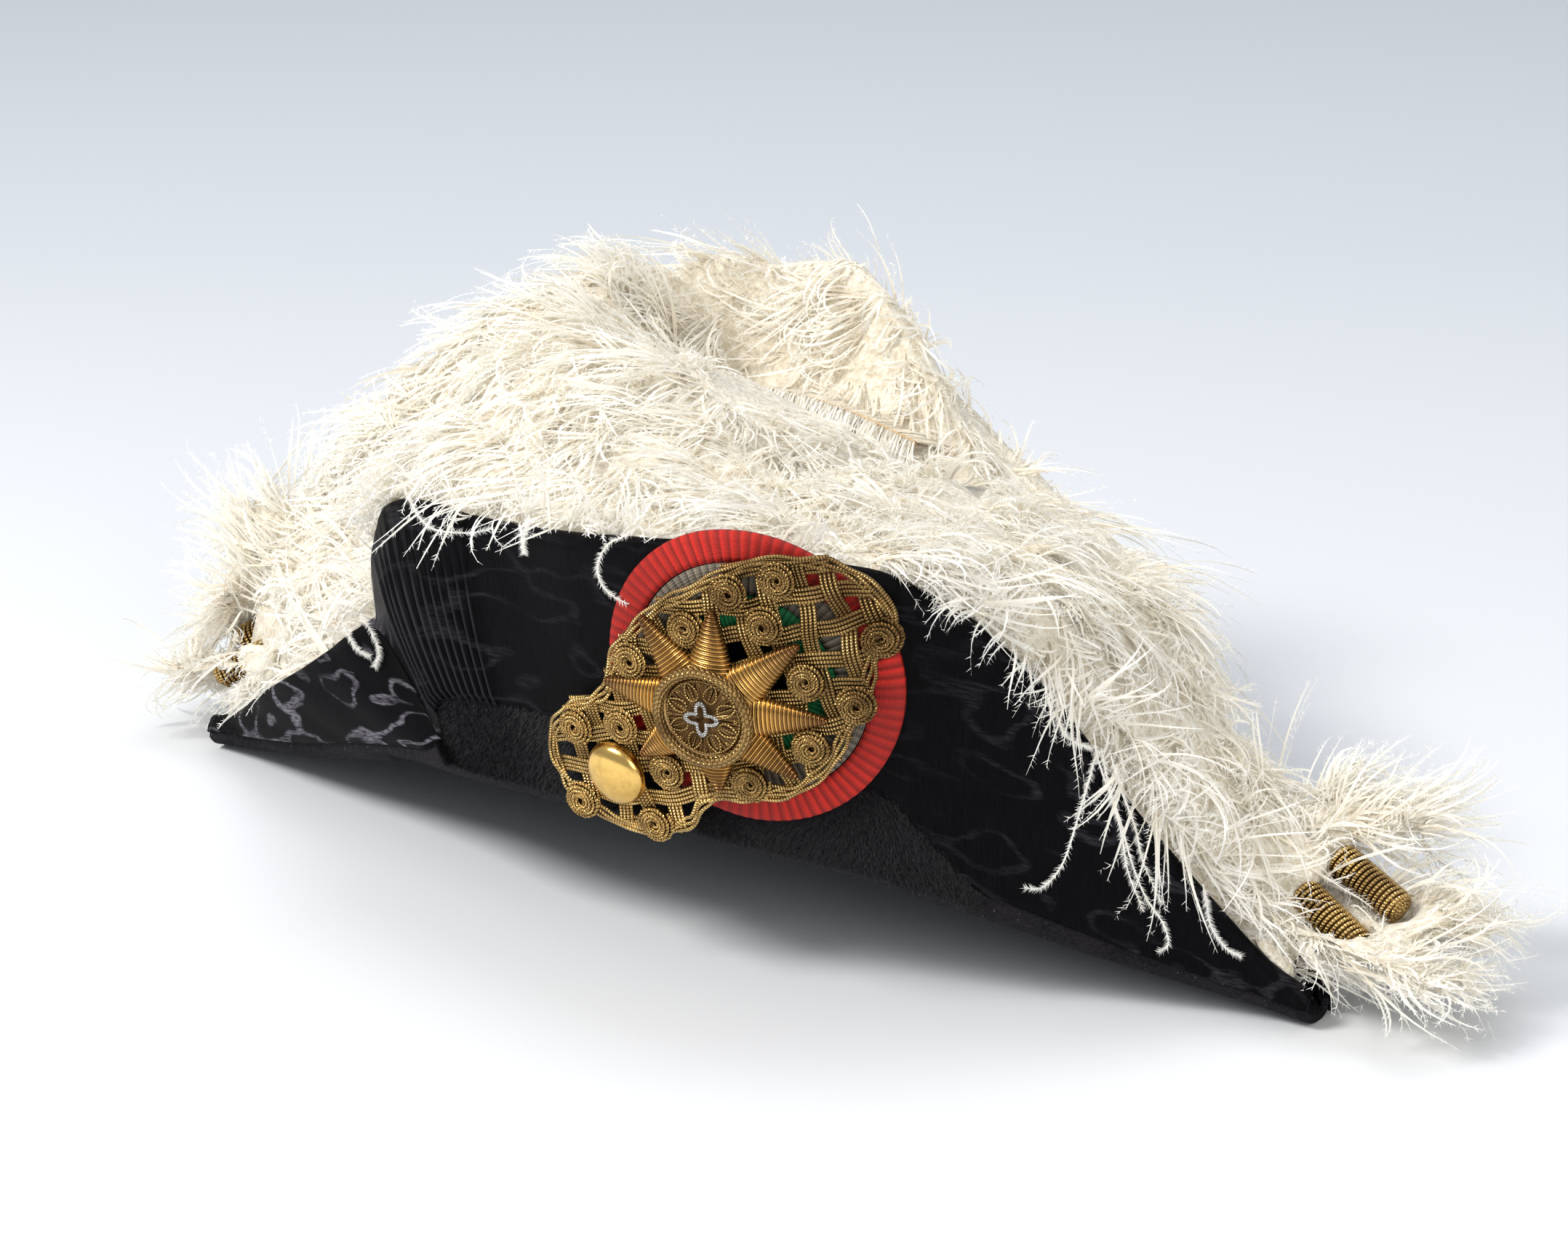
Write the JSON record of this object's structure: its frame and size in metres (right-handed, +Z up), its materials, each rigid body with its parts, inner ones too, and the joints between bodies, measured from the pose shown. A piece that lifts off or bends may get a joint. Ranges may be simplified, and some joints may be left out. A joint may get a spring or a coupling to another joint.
{
  "type": "bicorne hat",
  "caption": "Black bicorne hat with two upturned flaps, a pleated cockade under gold cord work and a star, bullion rolls at both tips and ostrich feathers along the inside.",
  "frame": {"origin": "on the floor, under the middle of the whole hat with its feathers", "axes": "+X along the hat from its left tip to its right tip, +Y towards the back flap, +Z up; the cockade faces -Y"},
  "size_m": [0.4918, 0.2396, 0.1718],
  "materials": {
    "felt_plush": "black long-pile plush over felt",
    "silk": "black moire silk with a soft watered sheen",
    "ribbon_red": "red pleated ribbon",
    "ribbon_silver": "silver-grey woven ribbon",
    "ribbon_green": "green silk ribbon",
    "gold_cord": "cord of thread wound with gilt wire, a little tarnished",
    "gold_old": "coiled gilt thread, darkened with age",
    "gold_bright": "polished gold",
    "silver_wire": "silver wire",
    "feather": "cream ostrich feather",
    "quill": "tan feather quill"
  },
  "bodies": {
    "root": {"body": "felt_plush", "silk_front": "silk", "silk_back": "silk", "cockade_red": "ribbon_red", "cockade_silver": "ribbon_silver", "cockade_green": "ribbon_green", "cord_work": "gold_cord", "rosette_01": "gold_old", "rosette_02": "gold_old", "rosette_03": "gold_old", "rosette_04": "gold_old", "rosette_05": "gold_old", "rosette_06": "gold_old", "rosette_07": "gold_old", "rosette_08": "gold_old", "rosette_09": "gold_old", "rosette_10": "gold_old", "rosette_11": "gold_old", "rosette_12": "gold_old", "rosette_13": "gold_old", "rosette_14": "gold_old", "rosette_15": "gold_old", "star": "gold_cord", "star_ring": "gold_old", "star_boss": "gold_cord", "star_knot": "silver_wire", "button": "gold_bright", "bullion_left_1": "gold_cord", "bullion_left_2": "gold_cord", "bullion_right_1": "gold_cord", "bullion_right_2": "gold_cord", "plume_left": "feather", "plume_right": "feather", "plume_front": "feather", "plume_back": "feather", "feather_shaft": "quill"}
  },
  "joints": []
}
